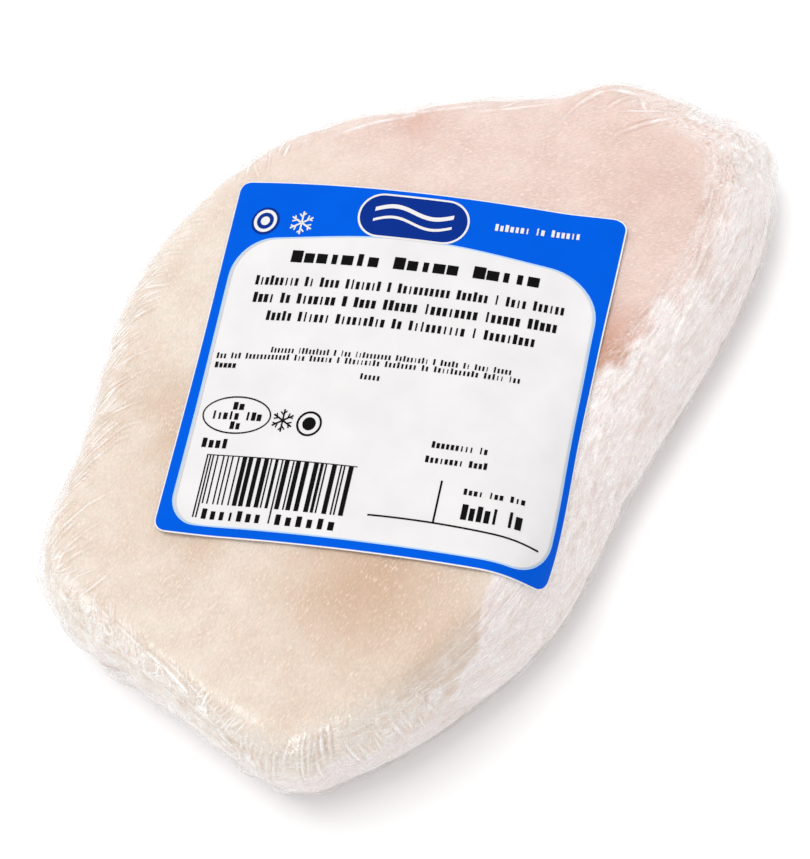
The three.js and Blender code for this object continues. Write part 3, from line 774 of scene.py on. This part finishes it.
PAPER_LIFT = {"middle": 0.5, "edge": 0.34, "under": 0.16, "band": 1.5}   # mm over the film
INK_STEP = 0.05                  # each layer of print lies this much higher, mm
DRAPE_STEP = 1.0                 # the sheet is laid on in steps of this, mm
DRAPE_REACH = 34                 # steps each way from its middle
SIDE_POINTS = 92                 # along each side of a printed field
CELL = 0.6                       # the largest square in a printed block, mm
FIELD_RINGS = 44                 # rings of points in the sheet and in its large fields
BAR_UNITS = 95                   # the bar block's width in units of its thinnest bar


def upper_normal(x, y):
    """The unit normal of the upper surface, from its slopes over 0.2 mm each way."""
    h = 0.2
    slope_x = (upper_surface(x + h, y) - upper_surface(x - h, y)) / (2 * h)
    slope_y = (upper_surface(x, y + h) - upper_surface(x, y - h)) / (2 * h)
    normal = np.stack([-slope_x, -slope_y, np.ones_like(slope_x)], axis=-1)
    return normal / np.linalg.norm(normal, axis=-1, keepdims=True)


def into_surface(direction, normal):
    """Directions tipped into the surface, of unit length."""
    flat = direction - normal * (direction * normal).sum(axis=-1, keepdims=True)
    return flat / np.linalg.norm(flat, axis=-1, keepdims=True)


def walk(start, heading, step):
    """Walks straight ahead over the upper surface from many starts at once, as a taut sheet
    lies: every step keeps its length, and the heading is only tipped to follow the surface."""
    points, headings = [start], [heading]
    for _ in range(DRAPE_REACH):
        here = points[-1]
        ahead = here + step * headings[-1]
        for _ in range(3):
            ahead[:, 2] = upper_surface(ahead[:, 0], ahead[:, 1])
            scale = abs(step) / np.linalg.norm(ahead - here, axis=1)
            ahead[:, :2] = here[:, :2] + (ahead - here)[:, :2] * scale[:, None]
        ahead[:, 2] = upper_surface(ahead[:, 0], ahead[:, 1])
        points.append(ahead)
        headings.append(into_surface(headings[-1], upper_normal(ahead[:, 0], ahead[:, 1])))
    return np.stack(points), np.stack(headings)


def both_ways(start, heading):
    """A walk back and a walk ahead as one row of points, and the headings along it."""
    back, back_heading = walk(start, heading, -DRAPE_STEP)
    ahead, ahead_heading = walk(start, heading, DRAPE_STEP)
    points = np.concatenate([back[:0:-1], ahead])
    return points, np.concatenate([back_heading[:0:-1], ahead_heading])


def drape():
    """The sheet as a table of surface points, up by across: one row through its middle, and from
    each point of that row a walk up and down."""
    middle = np.array([[LABEL["x"], LABEL["y"], upper_surface(LABEL["x"], LABEL["y"])]])
    turn = np.radians(LABEL["turn"])
    normal = upper_normal(middle[:, 0], middle[:, 1])
    heading = into_surface(np.array([[np.cos(turn), np.sin(turn), 0.0]]), normal)
    row, headings = both_ways(middle, heading)
    row, headings = row[:, 0], headings[:, 0]
    up = np.cross(upper_normal(row[:, 0], row[:, 1]), headings)
    return both_ways(row, up)[0]


def stiffened(table):
    """Evens out the sheet's bends over about 2 mm, as stiff paper does, but not at its edge."""
    for axis in (0, 1) * 4:
        table = np.moveaxis(table, axis, 0)
        evened = table.copy()
        evened[1:-1] = (table[:-2] + 2 * table[1:-1] + table[2:]) / 4
        table = np.moveaxis(evened, 0, axis)
    return table


SHEET = stiffened(drape())
ACROSS = np.gradient(SHEET, axis=1)
SHEET_NORMAL = np.cross(ACROSS, np.gradient(SHEET, axis=0))
SHEET_NORMAL /= np.linalg.norm(SHEET_NORMAL, axis=-1, keepdims=True)


def on_label(places, lift):
    """Points over the label: places are mm across and up from its middle, lift is mm over it."""
    i = np.clip(places[..., 0] / DRAPE_STEP + DRAPE_REACH, 0, 2 * DRAPE_REACH - 1e-6)
    j = np.clip(places[..., 1] / DRAPE_STEP + DRAPE_REACH, 0, 2 * DRAPE_REACH - 1e-6)
    column, row = i.astype(int), j.astype(int)
    a, b = (i - column)[..., None], (j - row)[..., None]
    point, normal = ((table[row, column] * (1 - a) + table[row, column + 1] * a) * (1 - b)
                     + (table[row + 1, column] * (1 - a) + table[row + 1, column + 1] * a) * b
                     for table in (SHEET, SHEET_NORMAL))
    return point + normal * np.asarray(lift)[..., None]


def paper_lift(places):
    """Height of the paper's face over the film: level inside, pressed down round its edge."""
    to_side = LABEL["width"] / 2 - np.abs(places[..., 0])
    to_end = LABEL["height"] / 2 - np.abs(places[..., 1])
    inside = step_up(np.minimum(to_side, to_end), 0, PAPER_LIFT["band"])
    return PAPER_LIFT["edge"] + (PAPER_LIFT["middle"] - PAPER_LIFT["edge"]) * inside


def corner_arc(x, y, radius, start):
    """A quarter of a circle, anticlockwise from start degrees, round its centre."""
    turn = np.radians(start + np.linspace(0, 90, 13))
    return np.column_stack([x + radius * np.cos(turn), y + radius * np.sin(turn)])


def rounded(left, bottom, right, top, radii, rise=0.0):
    """A rounded rectangle's outline, anticlockwise. Radii: low left, low right, top right and
    top left. The top edge bulges by rise in its middle. Its count of points never changes."""
    low_left, low_right, top_right, top_left = radii
    arcs = [corner_arc(left + low_left, bottom + low_left, low_left, 180),
            corner_arc(right - low_right, bottom + low_right, low_right, 270),
            corner_arc(right - top_right, top - top_right, top_right, 0),
            corner_arc(left + top_left, top - top_left, top_left, 90)]
    part = np.linspace(0, 1, SIDE_POINTS + 2)[1:-1, None]
    outline = []
    for arc, following in zip(arcs, arcs[1:] + arcs[:1]):
        outline += [arc, arc[-1] * (1 - part) + following[0] * part]
    outline = np.concatenate(outline)
    across = (outline[:, 0] - left) / (right - left)
    upper = step_up(outline[:, 1], (bottom + top) / 2, top)
    outline[:, 1] += rise * np.sin(np.pi * across) ** 2 * upper
    return outline


def field(outline, rings=20):
    """A filled outline: rings of points scaled towards its middle, and a fan round the middle."""
    middle = (outline.max(axis=0) + outline.min(axis=0)) / 2
    scale = (np.arange(rings, 0, -1) / rings)[:, None, None]
    places = np.concatenate([(middle + scale * (outline - middle)).reshape(-1, 2), [middle]])
    count = len(outline)
    quads = grid_faces(rings, count, closed=True)
    here = (rings - 1) * count + np.arange(count)
    beside = (rings - 1) * count + (np.arange(count) + 1) % count
    fan = np.column_stack([here, beside, np.full(count, rings * count)])
    return places, quads.tolist() + fan.tolist()


def strip(inner, outer):
    """The band between two outlines of as many points each."""
    places = np.concatenate([outer, inner])
    return places, grid_faces(2, len(outer), closed=True).tolist()


def block(x, y, width, height, turn=0.0):
    """An upright block from its low left corner, turned about it, cut into small squares."""
    columns = int(np.ceil(width / CELL)) + 1
    rows = int(np.ceil(height / CELL)) + 1
    s, t = np.meshgrid(np.linspace(0, width, columns), np.linspace(0, height, rows))
    c, d = np.cos(np.radians(turn)), np.sin(np.radians(turn))
    places = np.stack([x + c * s - d * t, y + d * s + c * t], axis=-1).reshape(-1, 2)
    return places, grid_faces(rows, columns).tolist()


def oval(x, y, half_width, half_height, count=72):
    """An ellipse's outline."""
    turn = np.arange(count) / count * TURN
    return np.column_stack([x + half_width * np.cos(turn), y + half_height * np.sin(turn)])


def words(left, right, low, height, lengths, rise=0.0, weight=0.6, seed=0):
    """A line of make-believe words: rows of small upright blocks, one row for each length, which
    fill the line from left to right and climb by rise. A few blocks are narrow or stand taller."""
    draw = np.random.default_rng(seed)
    units = sum(lengths) + len(lengths) - 1
    pitch = (right - left) / units
    shapes = []
    at = 0
    for length in lengths:
        for k in range(length):
            tall = height if k == 0 or draw.random() < 0.15 else 0.8 * height
            wide = pitch * weight * draw.choice([0.5, 0.95, 1.0, 1.05, 1.1])
            x = left + (at + k) * pitch + (pitch - wide) / 2
            shapes.append(block(x, low + rise * (at + k) / units, wide, tall))
        at += length + 1
    return shapes


def bar_block(left, right, low, high, foot, seed):
    """A field of upright bars of seeded widths, the outer and middle ones longer, down to foot."""
    draw = np.random.default_rng(seed)
    unit = (right - left) / BAR_UNITS
    shapes = []
    at = 0
    while at < BAR_UNITS - 1:
        wide = int(draw.choice([1, 1, 2, 3]))
        gap = int(draw.choice([1, 1, 2, 3]))
        guard = at < 4 or at > 90 or 45 < at < 50
        bottom = foot if guard else low
        wide = min(1 if guard else wide, BAR_UNITS - at)
        shapes.append(block(left + at * unit, bottom, wide * unit * 0.95, high - bottom))
        at += wide + (1 if guard else gap)
    shapes.append(block(left, high - 0.15, right - left, 0.15))
    return shapes


def snow_star(x, y, radius, thick):
    """A snow star: six spokes, each with two short barbs."""
    shapes = []
    for k in range(6):
        turn = 30 + 60 * k
        c, d = np.cos(np.radians(turn)), np.sin(np.radians(turn))
        shapes.append(block(x + d * thick / 2, y - c * thick / 2, radius, thick, turn))
        for side in (-45, 45):
            shapes.append(block(x + 0.55 * radius * c, y + 0.55 * radius * d, 0.38 * radius,
                                0.8 * thick, turn + side))
    return shapes


def wave_line(x, y, width, rise, thick):
    """A band that follows one wave of a sine."""
    s = np.linspace(0, width, 25)
    middle = y + rise * np.sin(TURN * s / width)
    low = np.column_stack([x + s, middle - thick / 2])
    high = np.column_stack([x + s, middle + thick / 2])
    return np.concatenate([low, high]), grid_faces(2, 25).tolist()


def rule_line(points, thick):
    """A thin printed line through a few places, smoothed by a quadratic fit."""
    points = np.array(points)
    fit = np.polyfit(points[:, 0], points[:, 1], 2)
    s = np.linspace(points[0, 0], points[-1, 0], 24)
    middle = np.polyval(fit, s)
    low = np.column_stack([s, middle - thick / 2])
    high = np.column_stack([s, middle + thick / 2])
    return np.concatenate([low, high]), grid_faces(2, 24).tolist()


def print_layer(name, shapes, layer, material):
    """Joins flat shapes into one piece that lies on the paper, a little above it."""
    points, faces = [], []
    count = 0
    for places, shape_faces in shapes:
        points.append(on_label(places, paper_lift(places) + layer * INK_STEP))
        faces += [[index + count for index in face] for face in shape_faces]
        count += len(places)
    return new_piece(name, np.concatenate(points), faces, material)


def make_paper(material):
    """The sheet: an upper and a lower skin with rounded corners, joined round the edge."""
    w, h = LABEL["width"] / 2, LABEL["height"] / 2
    outline = rounded(-w, -h, w, h, [LABEL["corner"]] * 4)
    places, faces = field(outline, FIELD_RINGS)
    count = len(places)
    upper = on_label(places, paper_lift(places))
    lower = on_label(places, np.full(count, PAPER_LIFT["under"]))
    under = [[index + count for index in reversed(face)] for face in faces]
    here = np.arange(len(outline))
    beside = (here + 1) % len(outline)
    wall = np.column_stack([here, here + count, beside + count, beside])
    faces = faces + under + wall.tolist()
    piece = new_piece("label_sheet", np.concatenate([upper, lower]), faces, material)
    piece.data.set_sharp_from_angle(angle=np.radians(40))
    return piece


PANEL = {"left": -30.2, "bottom": -29.5, "right": 30.8, "top": 20.4}
PANEL_RADII = (4.7, 5.5, 8.5, 7.0)
PANEL_RISE = 1.8
PANEL_LINE = 0.25                # the pale line round the panel, mm wide
BLUE_RIM = 0.2                   # paper left bare round the blue field, mm
BLUE_RING = (-25.9, 23.6)        # middles of the rings and the oval
BLACK_RING = (-9.9, -11.4)
STAMP = (-22.6, -10.8)


def panel_outline(inset, left_inset=0.0, right_inset=0.0):
    """The white panel's outline, drawn in all round and a little more at its two sides."""
    radii = [max(radius - inset, 0.5) for radius in PANEL_RADII]
    return rounded(PANEL["left"] + inset + left_inset, PANEL["bottom"] + inset,
                   PANEL["right"] - inset - right_inset, PANEL["top"] - inset, radii, PANEL_RISE)


def make_label():
    """The sheet and its print: a blue field, a white panel, and plain shapes in black."""
    paper = printed_paper("coated_label_paper", "#E8E8EA", 0.4)
    blue = printed_paper("blue_ink", "#0058D4", 0.02)
    dark_blue = printed_paper("dark_blue_ink", "#052C84", 0.05)
    pale = printed_paper("pale_blue_ink", "#A9CAEE", 0.2)
    grey = printed_paper("grey_ink", "#C4C7CC", 0.3)
    white = printed_paper("white_ink", "#E0DEDE", 0.4)
    black = printed_paper("black_ink", "#060607", 0.08)

    w, h = LABEL["width"] / 2, LABEL["height"] / 2
    sheet = make_paper(paper)
    rim = BLUE_RIM
    blue_field = field(rounded(-w + rim, -h + rim, w - rim, h - rim, [LABEL["corner"] - rim] * 4),
                       FIELD_RINGS)
    panel = panel_outline(PANEL_LINE)
    plaque = rounded(-10.2, 21.9, 8.2, 30.0, [4.0] * 4)
    plaque_line = rounded(-9.85, 22.25, 7.85, 29.65, [3.65] * 4)
    layers = [
        print_layer("label_blue_field", [blue_field], 1, blue),
        print_layer("label_panel", [field(panel, FIELD_RINGS)], 2, white),
        print_layer("label_panel_line", [strip(panel, panel_outline(0))], 2, pale),
        print_layer("label_panel_shade", [strip(panel_outline(PANEL_LINE, 0.42, 0.22), panel)], 3, grey),
        print_layer("label_plaque", [field(plaque_line, 6), field(oval(*BLUE_RING, 2.5, 2.5), 4)], 2,
                    dark_blue),
        print_layer("label_white_print", [
            strip(plaque_line, plaque),
            strip(oval(*BLUE_RING, 1.5, 1.5), oval(*BLUE_RING, 2.05, 2.05)),
            field(oval(*BLUE_RING, 0.8, 0.8), 2),
            wave_line(-7.5, 27.0, 13, 0.8, 0.75),
            wave_line(-7.5, 25.0, 13, 0.8, 0.5),
            *snow_star(-19.4, 23.5, 2.1, 0.3),
            *words(12.2, 26.1, 25.7, 1.25, (7, 2, 6), 0.8, seed=1),
        ], 3, white),
        print_layer("label_black_print", [
            *words(-19.8, 21.2, 16.3, 2.15, (7, 5, 5), 0.55, 0.82, seed=2),
            *words(-25.1, 25.9, 12.0, 1.7, (9, 2, 4, 7, 1, 10, 6, 1, 4, 6), 0.8, 0.6, seed=3),
            *words(-24.8, 25.3, 8.9, 1.8, (4, 2, 7, 1, 4, 6, 9, 6, 5), 0.6, 0.66, seed=4),
            *words(-21.7, 22.4, 5.8, 1.7, (5, 6, 9, 2, 10, 1, 9), 0.6, 0.6, seed=5),
            *words(-19.4, 19.8, 0.2, 1.0, (7, 9, 1, 3, 10, 9, 1, 5, 2, 4, 5), 0.8, 0.5, seed=6),
            *words(-28.8, 21.4, -1.2, 1.0, (3, 3, 12, 3, 6, 1, 9, 8, 2, 11, 5, 3), 1.0, 0.5, seed=7),
            *words(-28.7, -24.7, -2.8, 1.0, (5,), 0, 0.7, seed=8),
            *words(-3.6, -0.2, -3.1, 1.0, (5,), 0, 0.5, seed=9),
            strip(oval(*STAMP, 5.85, 2.95), oval(*STAMP, 6.1, 3.2)),
            *words(-23.6, -21.4, -9.9, 1.3, (2,), 0, 0.7, seed=10),
            *words(-27.0, -18.0, -11.6, 1.4, (5, 3), 0, 0.7, seed=11),
            *words(-23.4, -21.4, -13.2, 1.3, (2,), 0, 0.7, seed=12),
            *snow_star(-14.4, -11.2, 1.9, 0.28),
            strip(oval(*BLACK_RING, 1.75, 1.75), oval(*BLACK_RING, 2.1, 2.1)),
            field(oval(*BLACK_RING, 1.1, 1.1), 2),
            *words(-27.7, -22.8, -16.5, 1.6, (4,), 0, 0.6, seed=13),
            *bar_block(-26.1, -0.5, -25.8, -17.6, -28.2, 14),
            *words(-24.9, -14.0, -28.3, 1.7, (7,), 0, 0.5, seed=15),
            *words(-12.2, -1.7, -28.3, 1.7, (6,), 0, 0.5, seed=16),
            *words(10.0, 18.8, -13.0, 1.1, (9, 2), 0.1, 0.62, seed=17),
            *words(9.5, 19.2, -15.5, 1.1, (8, 4), 0.2, 0.62, seed=18),
            block(12.7, -25.0, 0.3, 6.9),
            rule_line([(2.7, -25.1), (17.7, -25.1), (28.8, -25.7)], 0.28),
            *words(16.3, 25.7, -19.8, 1.0, (4, 3, 3), 0, 0.62, seed=19),
            *words(16.6, 25.8, -23.8, 2.5, (5, 2), 0, 0.72, seed=20),
        ], 3, black),
    ]
    return sheet, layers


# ------------------------------------------------------------------------------ the studio

def softbox(name, at, size, watts):
    """A square area light that faces the middle of the object."""
    data = bpy.data.lights.new(name, "AREA")
    data.shape = "SQUARE"
    data.size = size
    data.energy = watts
    light = bpy.data.objects.new(name, data)
    bpy.context.scene.collection.objects.link(light)
    aim = Vector((0, 0, 0.01)) - Vector(at)
    light.matrix_world = Matrix.Translation(at) @ aim.to_track_quat("-Z", "Y").to_matrix().to_4x4()
    return light


GLINT_SIZE = 0.3                 # metres
GLINTS = [                       # name, place in metres, watts
    ("left", (-0.75, 0.43, 0.62), 1.5),
    ("front_left", (-0.58, -0.35, 0.85), 0.9),
    ("low_left", (-0.80, -0.62, 0.16), 6.0),
    ("front_right", (0.55, -0.65, 0.60), 1.3),
]


def make_studio():
    """A white board in an even white room, a softbox nearly overhead, a little to the back, which
    the film doesn't mirror, and four smaller ones that only show as glints on it."""
    reach = 3000                 # mm
    corners = [(-reach, -reach, 0), (reach, -reach, 0), (reach, reach, 0), (-reach, reach, 0)]
    board = new_piece("board", corners, [[0, 1, 2, 3]], white_board())
    world = bpy.data.worlds.new("white_room")
    world.use_nodes = True
    background = world.node_tree.nodes["Background"]
    background.inputs["Color"].default_value = linear("#FFFFFF")
    background.inputs["Strength"].default_value = 0.78
    bpy.context.scene.world = world
    key = softbox("key", (0.05, 0.27, 1.02), 0.5, 5.3)
    key.visible_glossy = False
    for name, at, watts in GLINTS:
        glint = softbox("glint_" + name, at, GLINT_SIZE, watts)
        glint.visible_diffuse = False


# ------------------------------------------------------------------------------ the whole

make_camera()
fish = make_fish()
film = make_film()
sheet, ink_layers = make_label()
make_studio()
bpy.context.scene.view_settings.view_transform = "Standard"

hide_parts("wrapped_steak")
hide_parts("label")
for piece in (fish, film, sheet, *ink_layers):
    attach(piece, "root")
